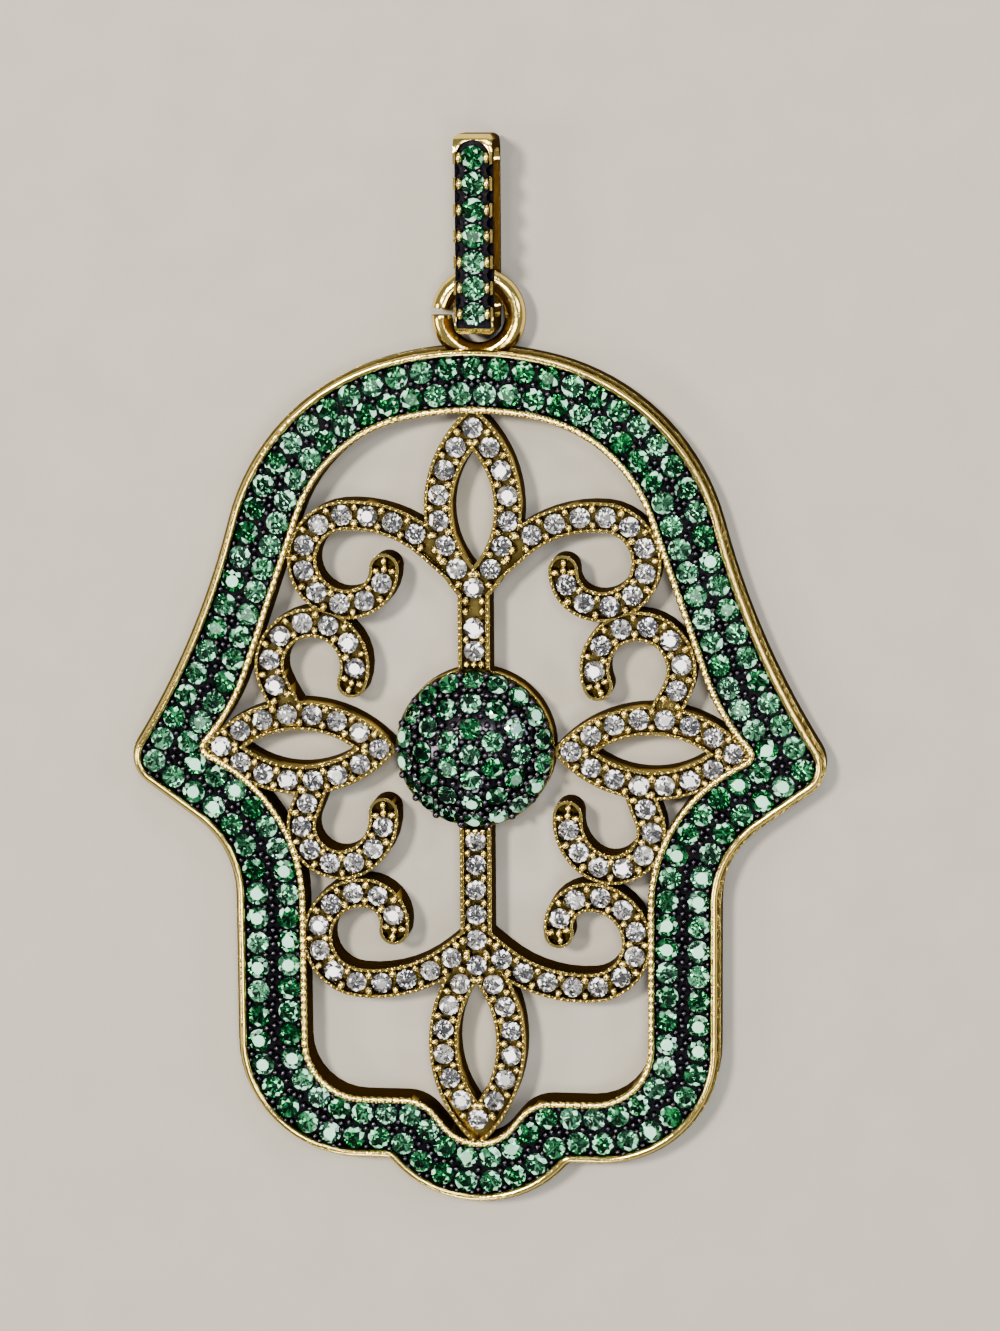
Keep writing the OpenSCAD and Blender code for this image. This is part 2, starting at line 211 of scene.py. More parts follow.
@dataclass(frozen=True)
class Leaf:
    """A pointed leaf with a pierced middle."""

    centre: Point
    axis: float
    half_len: float
    half_wide: float
    hole_half_len: float
    hole_half_wide: float

    def sides(self, half_len: float, half_wide: float) -> list[Track]:
        """Makes both sides of an oval about the leaf's middle.

        Args:
            half_len: Half the oval's length.
            half_wide: Half its width.

        Returns:
            The right side and the left one, seen along the axis.
        """
        right = oval_track(self.centre, self.axis, half_len, half_wide)
        left = oval_track(self.centre, self.axis + 180, half_len, half_wide)
        return [right, left]


@dataclass(frozen=True)
class Foot:
    """The straight, the notch and the lobe that close a half outline at the hand's foot."""

    notch: float
    lobe: float
    turn: float
    slant: float = 0.0

    def close(self, top: float, side: Sequence[Point]) -> Track:
        """Closes a half outline.

        Args:
            top: Height of its first point, on the middle line.
            side: The steps down to the end of the lower corner.

        Returns:
            The whole half outline, which ends on the middle line.
        """
        reach = Track((0, top), 0, tuple(side)).end()[0]
        turn = math.radians(self.turn)
        drop = (self.notch + self.lobe) * math.sin(turn) + self.slant * math.cos(turn)
        steps: list[Point] = [(reach - drop, 0), (self.notch, self.turn)]
        steps += [(self.slant, 0)] if self.slant else []
        return Track((0, top), 0, (*side, *steps, (self.lobe, -self.turn)))


@dataclass(frozen=True)
class Drawing:
    """The sizes that the solids are built with, for what is laid over them."""

    edge_top: float = 24.55
    edge_foot: Foot = Foot(0.95, 6.9, 49)
    inner_top: float = 22.2
    inner_foot: Foot = Foot(1.4, 3.8, 51, 1.0)
    edge_side: tuple[Point, ...] = (
        (19.7, -15), (13.9, -60), (52, 17), (1.5, -86), (3.95, 0), (6.5, 54), (9.4, 0), (7.05, -90),
    )
    inner_side: tuple[Point, ...] = (
        (19.9, -13), (10.5, -58), (10.4, 0), (12, 23), (1.6, -107), (9.2, 65), (9.1, 0), (4.7, -90),
    )
    rim_h: float = 2.4
    rim_w: float = 0.36
    bed_h: float = 2.0
    scroll_h: float = 2.3
    scroll_w: float = 1.86
    stem_w: float = 2.0
    stems: tuple[Point, ...] = ((4.8, 10.5), (-13.9, -4.8))
    inner_gap: float = 0.8
    outer_inset: float = 0.78
    outer_pitch: float = 1.6
    inner_pitch: float = 1.53
    girdle_h: float = 2.08
    dome_r: float = 6.3
    dome_d: float = 9.5
    dome_edge_h: float = 2.35
    dome_step: float = 14.8
    dome_rise: float = 0.06
    cup_d: float = 10.0
    bail_x: float = 0.4
    bail_low: float = 25.95
    bail_len: float = 12.2
    bail_w: float = 2.4
    bail_depth: float = 4.2
    bail_bed: float = 0.28
    bail_stone_d: float = 1.45
    bail_foot: float = 1.28
    bail_lip: float = 0.4
    bail_tip: float = 1.45
    bail_count: int = 7
    leaves: tuple[Leaf, ...] = (
        Leaf((0, 15.1), 90, 6.4, 3.07, 3.6, 1.33),
        Leaf((11.1, -0.12), 0, 6.25, 2.98, 3.5, 1.15),
        Leaf((-11.1, -0.12), 180, 6.25, 2.98, 3.5, 1.15),
        Leaf((0, -18.9), 90, 6.8, 3.07, 3.85, 1.24),
    )
    scrolls: tuple[Track, ...] = (
        Track((1.13, 11.36), 41.6, ((2.1, 0), (7.4, -46.4), (2.8, -195), (2.18, -72))),
        Track((11.53, 1.86), 57.4, ((0.4, 0), (13.6, 8.8), (2.72, 157), (2.73, 70))),
        Track((10.17, -2.02), -75.5, ((0.5, 0), (9.6, 10), (2.48, -152), (3.28, -58))),
        Track((0.32, -12.41), -39.3, ((1.4, 0), (8.4, 44.6), (2.92, 178.7), (1.97, 98))),
    )

    @property
    def edge(self) -> Track:
        """Outer edge of the stone channel, right half."""
        return self.edge_foot.close(self.edge_top, self.edge_side)

    @property
    def inner(self) -> Track:
        """Line of the inner row of stones, right half."""
        return self.inner_foot.close(self.inner_top, self.inner_side)

    @property
    def dome_centre(self) -> float:
        """Height of the centre of the dome's sphere."""
        return self.dome_edge_h - math.sqrt(self.dome_r**2 - self.dome_d**2 / 4)

    @property
    def bail_bed_h(self) -> float:
        """Height of the bed that the bail's stones stand in."""
        return self.bail_depth - self.bail_bed


def loop_of(track: Track, off: float, step: float) -> tuple[np.ndarray, np.ndarray]:
    """Samples a closed outline from its right half.

    Args:
        track: The right half, from the top to the foot.
        off: Distance outwards.
        step: Distance between points.

    Returns:
        Points and outward normals, clockwise from the top.
    """
    count = int(track.length(off) / step)
    whole = track.length(off)
    places = [track.at(whole * k / count, off) for k in range(count + 1)]
    points = np.array([p for p, _ in places])
    normals = np.array([direction(h + 90) for _, h in places])
    flip = np.array([-1.0, 1.0])
    return (
        np.vstack([points, points[-2:0:-1] * flip]),
        np.vstack([normals, normals[-2:0:-1] * flip]),
    )


def inside(points: np.ndarray, outline: np.ndarray) -> np.ndarray:
    """Tells which points lie inside a closed outline.

    Args:
        points: The points, a row each.
        outline: The outline's corners in order, a row each.

    Returns:
        True or false for each point.
    """
    a, b = outline, np.roll(outline, -1, axis=0)
    x, y = points[:, :1], points[:, 1:2]
    crosses = (a[:, 1] > y) != (b[:, 1] > y)
    # A level edge is never crossed, so any rise will do for it
    rise = np.where(b[:, 1] == a[:, 1], 1.0, b[:, 1] - a[:, 1])
    return (crosses & (x < (b[:, 0] - a[:, 0]) * (y - a[:, 1]) / rise + a[:, 0])).sum(1) % 2 == 1


# ---- Finishes


class Sheet:
    """A material's node tree."""

    def __init__(self, name: str) -> None:
        """Starts a material.

        Args:
            name: The material's name.
        """
        self.material = bpy.data.materials.new(name)
        self.material.use_nodes = True
        self.tree = self.material.node_tree
        self.tree.nodes.clear()

    def add(self, kind: str, inputs: Inputs | None = None, out: str | int = 0, **settings: Any) -> Any:
        """Adds a node with its settings and links.

        Args:
            kind: The node's type, without the word ShaderNode.
            inputs: Values, or sockets to link, by the input's name or number.
            out: The name or number of the output that is used.
            settings: Values of the node's own properties.

        Returns:
            The socket of that output, or None for a node without any.
        """
        node = self.tree.nodes.new("ShaderNode" + kind)
        for key, value in settings.items():
            setattr(node, key, value)
        for key, value in (inputs or {}).items():
            if isinstance(value, bpy.types.NodeSocket):
                self.tree.links.new(value, node.inputs[key])
            else:
                node.inputs[key].default_value = value
        return node.outputs[out] if node.outputs else None

    def close(self, shader: Any) -> bpy.types.Material:
        """Links the surface shader and gives the material."""
        self.add("OutputMaterial", {"Surface": shader})
        return self.material


@dataclass(frozen=True)
class PlatedMetal:
    """Cast brass under a thin polished plating, with soft casting waves, and painted shade in the hollows and
    on the side walls.
    """

    name: str
    bright: str
    # Colour that the painted shade of the hollows goes towards
    deep: str
    rough: float
    wave_h: float = 0.03
    # Colour of the painted shade on the side walls
    wall_shade: str = "#54421A"
    wall_rough: float = 0.45
    hollow: float = 0.6  # Reach of the shade in a hollow
    open_sky: Point = (0.45, 0.95)  # Openness of a hollow and of a free face
    tilts: Point = (0.03, 0.36)  # How far a wall and a top look upwards
    middle: Point = (0.3, 0.7)  # What a noise keeps to, for the most part
    patch: float = 1 / 0.7  # Width of a patch of thicker plating
    uneven: float = 0.86
    grain: float = 1 / 6  # Width of a grain of the haze
    haze: Point = (0.7, 1.35)  # The roughness of the finest and the dullest grain, as a share
    wave: float = 1 / 1.8  # Length of a casting wave

    def build(self) -> bpy.types.Material:
        """Makes the material.

        Returns:
            The material, bright on tops, with painted shade in hollows and on walls.
        """
        sheet = Sheet(self.name)
        place = sheet.add("TexCoord", out="Object")
        # Painted shade in the hollows, from their ambient occlusion, which outlines the beads and the rims
        sky = sheet.add("AmbientOcclusion", {"Distance": self.hollow * MM}, "AO", samples=6)
        low, high = self.open_sky
        shade = sheet.add("MapRange", {"Value": sky, "From Min": low, "From Max": high})
        # Side walls are cast and barely buffed, so they stay duller than the tops, and a painted shade makes
        # them darker where a face looks sideways
        normal = sheet.add("TexCoord", out="Normal")
        facing = sheet.add("SeparateXYZ", {"Vector": normal}, "Z")
        low, high = self.tilts
        top = sheet.add("MapRange", {"Value": facing, "From Min": low, "From Max": high})
        # Uneven plating, a millimetre or two across
        patches = sheet.add("TexNoise", {"Vector": place, "Scale": 1 / (self.patch * MM), "Detail": 3.0})
        low, high = self.middle
        even = {"Value": patches, "From Min": low, "From Max": high, "To Min": self.uneven}
        tint = sheet.add("MapRange", even)
        # The painted shade of the hollows, with the patches of plating, mixes the deep colour into the bright
        # one
        share = sheet.add("Math", {0: shade, 1: tint}, operation="MULTIPLY")
        plating = {SHARE: share, FIRST: linear(self.deep), SECOND: linear(self.bright)}
        polished = sheet.add("Mix", plating, MIXED, data_type="RGBA")
        # Faces that look sideways take the painted shade of the walls
        wall_shade = linear(self.wall_shade)
        colour = sheet.add("Mix", {SHARE: top, FIRST: wall_shade, SECOND: polished}, MIXED, data_type="RGBA")
        # Haze of the buffing, so that highlights break up. Real buffing lines are about 0.01 mm
        # wide and too fine to show, so its grain is drawn far coarser
        buffed = sheet.add("TexNoise", {"Vector": place, "Scale": 1 / (self.grain * MM), "Detail": 4.0})
        fine, dull = (self.rough * part for part in self.haze)
        spread = {"Value": buffed, "From Min": low, "From Max": high, "To Min": fine, "To Max": dull}
        haze = sheet.add("MapRange", spread)
        rough = sheet.add("MapRange", {"Value": top, "To Min": self.wall_rough, "To Max": haze})
        # Painted shade on the walls: their reflection is tinted dark even where they are seen along their
        # face
        white = linear("#FFFFFF")
        edge = sheet.add("Mix", {SHARE: top, FIRST: wall_shade, SECOND: white}, MIXED, data_type="RGBA")
        # Casting waves half a millimetre long, which bend the reflections
        shape = {"Vector": place, "Scale": 1 / (self.wave * MM), "Detail": 5.0, "Roughness": 0.62}
        height = sheet.add("TexNoise", shape)
        relief = sheet.add("Bump", {"Height": height, "Distance": self.wave_h * MM})
        look = {"Base Color": colour, "Metallic": 1.0, "Roughness": rough}
        look |= {"Specular Tint": edge, "Normal": relief}
        return sheet.close(sheet.add("BsdfPrincipled", look))


@dataclass(frozen=True)
class CutStone:
    """Faceted synthetic stone, polished, whose tone differs a little from stone to stone, with painted shade
    and painted flashes on its facets.
    """

    name: str
    light: str
    dark: str
    # Colour of the painted flashes
    flash: str
    ior: float
    painted_flash: float  # Strength of the flashes
    # dim and deep_facets set the painted shade of the facets
    dim: float  # Brightness of the deepest facet
    polish: float = 0.02
    deep_facets: float = 0.6  # Share of the facets that are darker than the stone
    lit_facets: Point = (0.78, 0.9)  # Where the flashing facets begin, and where they are full

    def build(self) -> bpy.types.Material:
        """Makes the material.

        Returns:
            The material, which reads the mesh's attributes tone and facet.
        """
        sheet = Sheet(self.name)
        # Each stone's own tone, from light to dark
        tone = sheet.add("Attribute", out="Fac", attribute_name="tone")
        tones = {SHARE: tone, FIRST: linear(self.light), SECOND: linear(self.dark)}
        colour = sheet.add("Mix", tones, MIXED, data_type="RGBA")
        # Painted shade of the facets: each facet is darkened by its own random value, which stands in for the
        # dark and bright facets of a real cut stone
        facet = sheet.add("Attribute", out="Fac", attribute_name="facet")
        depth = sheet.add("MapRange", {"Value": facet, "From Max": self.deep_facets, "To Min": self.dim})
        tinted = sheet.add("VectorMath", {0: colour, "Scale": depth}, operation="SCALE")
        glass = sheet.add("BsdfGlass", {"Color": tinted, "Roughness": self.polish, "IOR": self.ior})
        # Painted flashes: a share of the facets gets a bright matt colour, which stands in for the light that
        # they throw straight back
        flash = sheet.add("BsdfDiffuse", {"Color": linear(self.flash)})
        low, high = self.lit_facets
        lit = {"Value": facet, "From Min": low, "From Max": high, "To Max": self.painted_flash}
        share = sheet.add("MapRange", lit)
        return sheet.close(sheet.add("MixShader", {0: share, 1: glass, 2: flash}))


@dataclass(frozen=True)
class PaleFloor:
    """Matt pale studio board with a faint mottle."""

    name: str = "studio board, matt painted"
    light: str = "#9C988E"
    dark: str = "#948F85"
    rough: float = 0.85
    mottle: float = 4.0  # Width of a roller's mark
    grain: float = 0.2
    grain_h: float = 0.01

    def build(self) -> bpy.types.Material:
        """Makes the material.

        Returns:
            The material.
        """
        sheet = Sheet(self.name)
        place = sheet.add("TexCoord", out="Object")
        # Faint mottle of a rolled paint, a few millimetres across
        rolled = sheet.add("TexNoise", {"Vector": place, "Scale": 1 / (self.mottle * MM), "Detail": 4.0})
        tones = {SHARE: rolled, FIRST: linear(self.dark), SECOND: linear(self.light)}
        colour = sheet.add("Mix", tones, MIXED, data_type="RGBA")
        # Grain of matt paint, a fifth of a millimetre across
        matt = sheet.add("TexNoise", {"Vector": place, "Scale": 1 / (self.grain * MM), "Detail": 3.0})
        relief = sheet.add("Bump", {"Height": matt, "Distance": self.grain_h * MM})
        look = {"Base Color": colour, "Roughness": self.rough, "Normal": relief}
        return sheet.close(sheet.add("BsdfPrincipled", look))


class Finish(Enum):
    """The finishes of the pendant, each built once."""

    # Warm and bright on the tops, with a painted brown shade in the hollows and on the walls, and soft waves
    # in its highlights
    GOLD = PlatedMetal("brass casting, polished yellow gold plate", "#FFE07C", "#6E5820", rough=0.11)
    # Near black, with painted shade in its hollows and on its walls, and seen only by its small highlights
    BLACK = PlatedMetal(
        "brass, polished black rhodium plate",
        "#47434C", "#040305", rough=0.14, wave_h=0.004, wall_shade="#0E0C0F", wall_rough=0.3,
    )
    # Clear green, with painted shade and painted flashes that make it go deep and bright from facet to facet
    GREEN = CutStone(
        "green spinel, round cut and polished",
        "#DEF9EB", "#8FD8B4", "#B4F2D4", ior=1.8, painted_flash=0.75, dim=0.34,
    )
    # Colourless, strongly bending and full of painted flashes, with a little painted shade on its facets
    WHITE = CutStone(
        "white cubic zirconia, round cut and polished",
        "#FFFFFF", "#F4F4F6", "#FFFFFF", ior=2.15, painted_flash=0.95, dim=0.7,
    )
    FLOOR = PaleFloor()

    def material(self) -> bpy.types.Material:
        """Gives the finish's material, made at the first call."""
        return bpy.data.materials.get(self.value.name) or self.value.build()


# ---- Meshes


@dataclass
class Mould:
    """Gathers faces in millimetres and makes one mesh of them."""

    points: list[np.ndarray] = field(default_factory=list)
    faces: Faces = field(default_factory=list)
    tones: list[np.ndarray] = field(default_factory=list)
    chance: random.Random = field(default_factory=lambda: random.Random("facets"))
    count: int = 0

    def put(self, points: np.ndarray, faces: Iterable[tuple[int, ...]], tone: float = 0.0) -> None:
        """Adds a body.

        Args:
            points: Its corners in millimetres.
            faces: Its faces, by corner.
            tone: The value of its tone attribute.
        """
        self.points.append(np.asarray(points, float))
        self.tones.append(np.full(len(points), tone))
        self.faces += [tuple(i + self.count for i in f) for f in faces]
        self.count += len(points)

    def cast(self, name: str, finish: Finish, smooth: bool, slot: str) -> bpy.types.Object:
        """Makes the object, puts it on the pendant and gives it its finish.

        Args:
            name: The piece's name.
            finish: Its finish.
            smooth: Whether its faces are shaded round.
            slot: The record's material slot; it is not used.

        Returns:
            The new object.
        """
        mesh = bpy.data.meshes.new(name)
        mesh.from_pydata((np.vstack(self.points) * MM).tolist(), [], self.faces)
        mesh.polygons.foreach_set("use_smooth", [smooth] * len(mesh.polygons))
        tone = mesh.attributes.new("tone", "FLOAT", "POINT")
        tone.data.foreach_set("value", np.concatenate(self.tones).astype(np.float32))
        # Each face's random value, which the stone finishes turn into painted shade and painted flashes
        facet = mesh.attributes.new("facet", "FLOAT", "FACE")
        facet.data.foreach_set("value", [self.chance.random() for _ in mesh.polygons])
        mesh.materials.append(finish.material())
        mesh.update()
        made = bpy.data.objects.new(name, mesh)
        bpy.context.scene.collection.objects.link(made)
        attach(made, "root")
        LOG.info("%s: %d faces", name, len(mesh.polygons))
        return made


@dataclass(frozen=True)
class Place:
    """Where a stone or a bead sits: its point, and how its axis leans."""

    x: float
    y: float
    z: float
    tilt: float = 0.0
    heading: float = 0.0

    def matrix(self) -> np.ndarray:
        """Gives the rotation that turns +Z to the piece's axis.

        Returns:
            The rotation, three by three.
        """
        t, h = math.radians(self.tilt), math.radians(self.heading)
        lean = np.array([[math.cos(t), 0, math.sin(t)], [0, 1, 0], [-math.sin(t), 0, math.cos(t)]])
        turn = np.array([[math.cos(h), -math.sin(h), 0], [math.sin(h), math.cos(h), 0], [0, 0, 1]])
        return turn @ lean

    def carry(self, points: np.ndarray) -> np.ndarray:
        """Moves points from the piece's own axes to its place."""
        return points @ self.matrix().T + np.array([self.x, self.y, self.z])


@dataclass(frozen=True)
class Brilliant:
    """A round brilliant: table, stars, kites, girdle and a pointed pavilion. Shares of its diameter."""

    table: float = 0.56
    crown: float = 0.15
    girdle: float = 0.03
    pavilion: float = 0.43
    star: float = 0.8
    lower: float = 0.25
    fold: int = 8

    def mesh(self, size: float) -> tuple[np.ndarray, Faces]:
        """Makes the stone's facets.

        Args:
            size: Its diameter.

        Returns:
            Points about the middle of the girdle's upper edge, and faces.
        """
        r, rt, top = size / 2, size * self.table / 2, size * self.crown
        n, step = self.fold, 2 * math.pi / self.fold
        half = math.cos(step / 2)
        rs, rl = r * self.star, r * self.lower
        star_h = top * (r - rs * half) / (r - rt)
        deep = size * (self.pavilion - self.girdle)
        low_h = -size * self.girdle - deep * (r - rl * half) / r
        corners = [step * k for k in range(n)]
        between = [a + step / 2 for a in corners]
        around = [step / 2 * k for k in range(2 * n)]
        points = [(rt * math.cos(a), rt * math.sin(a), top) for a in corners]
        points += [(rs * math.cos(a), rs * math.sin(a), star_h) for a in between]
        points += [(r * math.cos(a), r * math.sin(a), 0.0) for a in around]
        points += [(r * math.cos(a), r * math.sin(a), -size * self.girdle) for a in around]
        points += [(rl * math.cos(a), rl * math.sin(a), low_h) for a in between]
        points += [(0.0, 0.0, -size * self.pavilion)]
        # First corner of the stars, the girdle above and below, and the pavilion, and the point
        stars, girdle, under, low, tip = n, 2 * n, 4 * n, 6 * n, 7 * n
        faces: Faces = [tuple(range(stars))]
        for k in range(n):
            star, before = stars + k, stars + (k - 1) % n
            g, mid, last = girdle + 2 * k, girdle + 2 * k + 1, girdle + (2 * k + 2) % (2 * n)
            u, u_mid, u_last = (i + under - girdle for i in (g, mid, last))
            faces += [(k, star, (k + 1) % n), (k, before, g, star), (star, g, mid), (star, mid, last)]
            faces += [(g, u, u_mid, mid), (mid, u_mid, u_last, last)]
            faces += [(tip, low + k, u, low + (k - 1) % n), (low + k, u_mid, u), (low + k, u_last, u_mid)]
        return np.array(points), faces


@dataclass(frozen=True)
class Bead:
    """A round-topped prong on a straight foot."""

    sides: int = 10
    foot: float = 0.6  # Width at the foot, as a share
    rings: tuple[float, ...] = (26, 52, 78, 104)  # Degrees down from its top

    def mesh(self, radius: float, stretch: float = 1.0, deep: float = 0.0) -> tuple[np.ndarray, Faces]:
        """Makes the bead about its middle.

        Args:
            radius: Its radius.
            stretch: Its length across, as a share of its width.
            deep: How far its foot reaches down from its middle, if that is more than the radius.

        Returns:
            Points and faces, closed at the foot.
        """
        turns = [2 * math.pi * k / self.sides for k in range(self.sides)]
        points = [(0.0, 0.0, radius)]
        for a in self.rings:
            flat, rise = radius * math.sin(math.radians(a)), radius * math.cos(math.radians(a))
            points += [(flat * math.cos(t), flat * stretch * math.sin(t), rise) for t in turns]
        low = points[-self.sides :]
        points += [(x * self.foot, y * self.foot, -max(radius, deep)) for x, y, _ in low]
        n = self.sides
        faces: Faces = [(0, 1 + k, 1 + (k + 1) % n) for k in range(n)]
        for ring in range(len(self.rings)):
            o = 1 + ring * n
            faces += [(o + k, o + n + k, o + n + (k + 1) % n, o + (k + 1) % n) for k in range(n)]
        faces += [tuple(1 + len(self.rings) * n + k for k in reversed(range(n)))]
        return np.array(points), faces


def sweep(
    points: np.ndarray, normals: np.ndarray, profile: Callable[[float], list[Point]], step: float
) -> tuple[np.ndarray, Faces]:
    """Draws a profile along a closed line.

    Args:
        points: The line's points.
        normals: Its outward normals.
        profile: Gives the profile's corners, outwards and up, at a distance along the line.
        step: Distance between the points.

    Returns:
        Points and faces of a closed ring.
    """
    rings: list[list[tuple[float, float, float]]] = []
    for k, (p, n) in enumerate(zip(points, normals)):
        rings.append([(p[0] + n[0] * u, p[1] + n[1] * u, v) for u, v in profile(k * step)])
    wide, long = len(rings[0]), len(rings)
    faces: Faces = []
    for k in range(long):
        a, b = k * wide, ((k + 1) % long) * wide
        faces += [(a + i, a + (i + 1) % wide, b + (i + 1) % wide, b + i) for i in range(wide)]
    return np.array(rings).reshape(-1, 3), faces


# ---- Sub-assemblies


@dataclass
class StoneField:
    """A field of green brilliants that stands for a node of plainer stones."""

    name: str
    node: str
    places: list[Place]
    size: float
    cut: Brilliant = Brilliant()
    lean: float = 2.0  # Degrees that a stone may lean in its seat

    def build(self) -> bpy.types.Object:
        """Makes the stones, each turned and toned a little differently.

        Returns:
            The new object, which stands for the node.
        """
        chance = random.Random(self.node)
        mould = Mould()
        points, faces = self.cut.mesh(self.size)
        for p in self.places:
            spin = Place(0, 0, 0, chance.uniform(-self.lean, self.lean), chance.uniform(0, 360))
            mould.put(p.carry(spin.carry(points)), faces, chance.random())
        made = mould.cast(self.name, Finish.GREEN, smooth=False, slot="green_stone")
        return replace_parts(made, self.node)


@dataclass
class FrameRows:
    """The double row of green stones round the hand, with its black bead prongs."""

    drawing: Drawing
    size: float = 1.42
    bead_r: float = 0.19
    bead_lap: float = 0.07  # How far a bead reaches over its stones
    bead_h: float = 2.12
    bead_room: float = 1.5  # Least distance to the next bead, in radii
    middle: float = 0.1  # Stones closer to the middle line aren't doubled
    line_step: float = 0.3
    line_gap: float = 0.04
    grid_x: tuple[float, float, float] = (-21.8, 21.9, 0.1)
    grid_y: tuple[float, float, float] = (-29, 24.7, 0.1)

    def right_places(self) -> list[Place]:
        """Gives the places of the right half's stones.

        Returns:
            The outer row from the top down, then the inner one.
        """
        d = self.drawing
        rows = d.edge.spaced(d.outer_pitch, 0, 0.5, -d.outer_inset) + d.inner.spaced(d.inner_pitch, 0.5, 0.5)
        return [Place(float(p[0]), float(p[1]), d.girdle_h) for p, _ in rows]

    def build(self) -> None:
        """Makes both stone fields and the prongs between the stones."""
        right = self.right_places()
        left = [Place(-p.x, p.y, p.z) for p in right if p.x > self.middle]
        StoneField("green_stones_right", "stones_right", right, self.size).build()
        StoneField("green_stones_left", "stones_left", left, self.size).build()
        beads = self._bead_places(np.array([[p.x, p.y] for p in right + left]))
        mould = Mould()
        bead = Bead()
        for x, y, r in beads:
            points, faces = bead.mesh(r)
            mould.put(Place(x, y, self.bead_h).carry(points), faces)
        mould.cast("channel_prongs", Finish.BLACK, smooth=True, slot="black_rhodium")

    def _bead_places(self, stones: np.ndarray) -> list[tuple[float, float, float]]:
        """Fills what the stones leave of the black bed with beads, the widest places first.

        Args:
            stones: The middles of the stones, a row each.

        Returns:
            Each bead's place and radius.
        """
        d = self.drawing
        outer, _ = loop_of(d.edge, 0, self.line_step)
        inner, _ = loop_of(d.inner, -d.inner_gap, self.line_step)
        grid = np.array([[x, y] for x in np.arange(*self.grid_x) for y in np.arange(*self.grid_y)])
        grid = grid[inside(grid, outer) & ~inside(grid, inner)]
        for leaf in d.leaves:
            body = np.vstack([loop_points(t) for t in leaf.sides(leaf.half_len, leaf.half_wide)])
            grid = grid[~inside(grid, body)]
        room = np.full(len(grid), FAR)
        for s in stones:
            room = np.minimum(room, np.hypot(*(grid - s).T) - self.size / 2)
        for line in (outer, inner):
            for s in line:
                room = np.minimum(room, np.hypot(*(grid - s).T) + self.line_gap)
        found: list[tuple[float, float, float]] = []
        while True:
            k = int(room.argmax())
            if room[k] < self.bead_r - self.bead_lap:
                return found
            r = min(self.bead_r, room[k] + self.bead_lap)
            found.append((float(grid[k][0]), float(grid[k][1]), r))
            room = np.minimum(room, np.hypot(*(grid - grid[k]).T) - r * self.bead_room)


def loop_points(track: Track, step: float = 0.4) -> np.ndarray:
    """Samples a track without its last point.

    Args:
        track: The track.
        step: Distance between points.

    Returns:
        The points, a row each.
    """
    count = max(4, int(track.length() / step))
    return np.array([track.at(track.length() * k / count)[0] for k in range(count)])


@dataclass
class Dome:
    """The domed centre: rings of green stones with black beads between and round them."""

    drawing: Drawing
    size: float = 1.36
    bead_r: float = 0.22
    bead_lap: float = 0.1  # How far a bead reaches over its stones
    bead_rise: float = 0.12
    bead_room: float = 1.6  # Least distance to the next bead, in radii
    bead_reach: int = 46  # Degrees down to the lowest beads between stones
    rings: int = 4
    rim_beads: int = 18
    rim_tilt: float = 46.5  # Degrees down to the beads round the edge
    rim_rise: float = 0.28
    rim_bead_r: float = 0.25

    def _on_dome(self, tilt: float, heading: float, rise: float) -> Place:
        """Finds a place on the dome.

        Args:
            tilt: Its angle from the dome's axis in degrees.
            heading: Its direction seen from above in degrees.
            rise: Its height over the dome.

        Returns:
            The place, whose axis leans with the dome.
        """
        d = self.drawing
        t, h, r = math.radians(tilt), math.radians(heading), d.dome_r + rise
        flat = r * math.sin(t)
        return Place(flat * math.cos(h), flat * math.sin(h), d.dome_centre + r * math.cos(t), tilt, heading)

    def stone_places(self) -> list[Place]:
        """Gives the places of the dome's stones.

        Returns:
            The places, ring by ring from the top.
        """
        d = self.drawing
        rings = [(k * d.dome_step, max(1, 6 * k)) for k in range(self.rings)]
        return [self._on_dome(tilt, 90 + 360 * k / n, d.dome_rise) for tilt, n in rings for k in range(n)]

    def build(self) -> None:
        """Makes the stones and the beads."""
        stones = self.stone_places()
        StoneField("dome_green_stones", "dome_stones", stones, self.size).build()
        mould = Mould()
        for place, r in self._beads(stones):
            points, faces = Bead().mesh(r)
            mould.put(place.carry(points), faces)
        for k in range(self.rim_beads):
            points, faces = Bead().mesh(self.rim_bead_r, 1.0, 2 * self.rim_bead_r)
            place = self._on_dome(self.rim_tilt, 360 * k / self.rim_beads, self.rim_rise)
            mould.put(place.carry(points), faces)
        mould.cast("dome_prongs", Finish.BLACK, smooth=True, slot="black_rhodium")

    def _beads(self, stones: list[Place]) -> list[tuple[Place, float]]:
        """Fills the dome between its stones with beads, the widest places first.

        Args:
            stones: The stones' places.

        Returns:
            Each bead's place and radius.
        """
        taken = np.array([[p.x, p.y, p.z] for p in stones])
        spots: list[Place] = []
        # Every half degree down, and closer together round the dome as its rings widen
        for half in range(2 * self.bead_reach):
            turns = range(0, 360, max(1, int(60 / (half + 1))))
            spots += [self._on_dome(half / 2, h, self.bead_rise) for h in turns]
        grid = np.array([[p.x, p.y, p.z] for p in spots])
        room = np.full(len(grid), FAR)
        for s in taken:
            room = np.minimum(room, np.linalg.norm(grid - s, axis=1) - self.size / 2)
        found: list[tuple[Place, float]] = []
        while room.max() >= self.bead_r - self.bead_lap:
            k = int(room.argmax())
            r = min(self.bead_r, room[k] + self.bead_lap)
            found.append((spots[k], r))
            room = np.minimum(room, np.linalg.norm(grid - grid[k], axis=1) - r * self.bead_room)
        return found


def without(items: list[np.ndarray], number: int) -> list[np.ndarray]:
    """Gives a list without the item of that number."""
    return [item for n, item in enumerate(items) if n != number]


